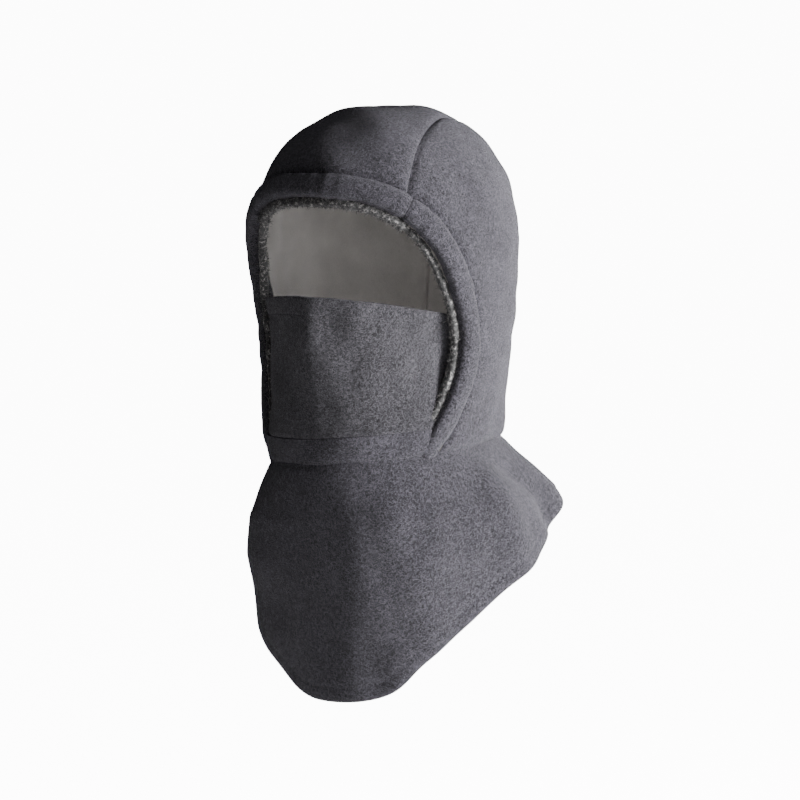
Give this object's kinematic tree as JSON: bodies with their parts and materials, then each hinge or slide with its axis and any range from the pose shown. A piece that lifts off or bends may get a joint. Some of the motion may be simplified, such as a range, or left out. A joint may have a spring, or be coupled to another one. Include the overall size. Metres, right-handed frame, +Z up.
{
  "type": "balaclava",
  "caption": "Fleece ski balaclava: seamed hood with padded plush-edged face rim, pull-down face mask and a long flared bib over the neck and chest.",
  "frame": {"origin": "centre of the head space at brow height, where the wearer's head sits", "axes": "+Z up towards the crown, -Y the way the wearer looks, +X towards the wearer's left"},
  "size_m": [0.2232, 0.2511, 0.4292],
  "materials": {
    "outer_fleece": "brushed",
    "lining": "brushed",
    "plush_pile": "plush",
    "mask_fleece": "brushed",
    "wadding": "matte"
  },
  "bodies": {
    "hood": {"crown_panel": "outer_fleece", "side_panel_left": "outer_fleece", "side_panel_right": "outer_fleece", "crown_lining": "lining", "side_lining_left": "lining", "side_lining_right": "lining", "brim_cover": "outer_fleece", "brim_padding": "wadding", "rim_roll_cover_left": "outer_fleece", "rim_roll_cover_right": "outer_fleece", "rim_roll_padding_left": "wadding", "rim_roll_padding_right": "wadding", "plush_facing_top": "plush_pile", "plush_facing_left": "plush_pile", "plush_facing_right": "plush_pile", "chin_strip": "outer_fleece", "chin_strip_lining": "lining", "bib_outer": "outer_fleece", "bib_lining": "lining"},
    "mask": {"mask_panel": "mask_fleece", "mask_lining": "lining", "mask_top_hem": "mask_fleece"}
  },
  "joints": [
    {"name": "mask_pull_down", "type": "slide", "parent": "hood", "child": "mask", "axis": [0, 0, -1], "range_m": [0, 0.08], "deforming": ["mask_panel", "mask_lining", "mask_top_hem"]}
  ]
}
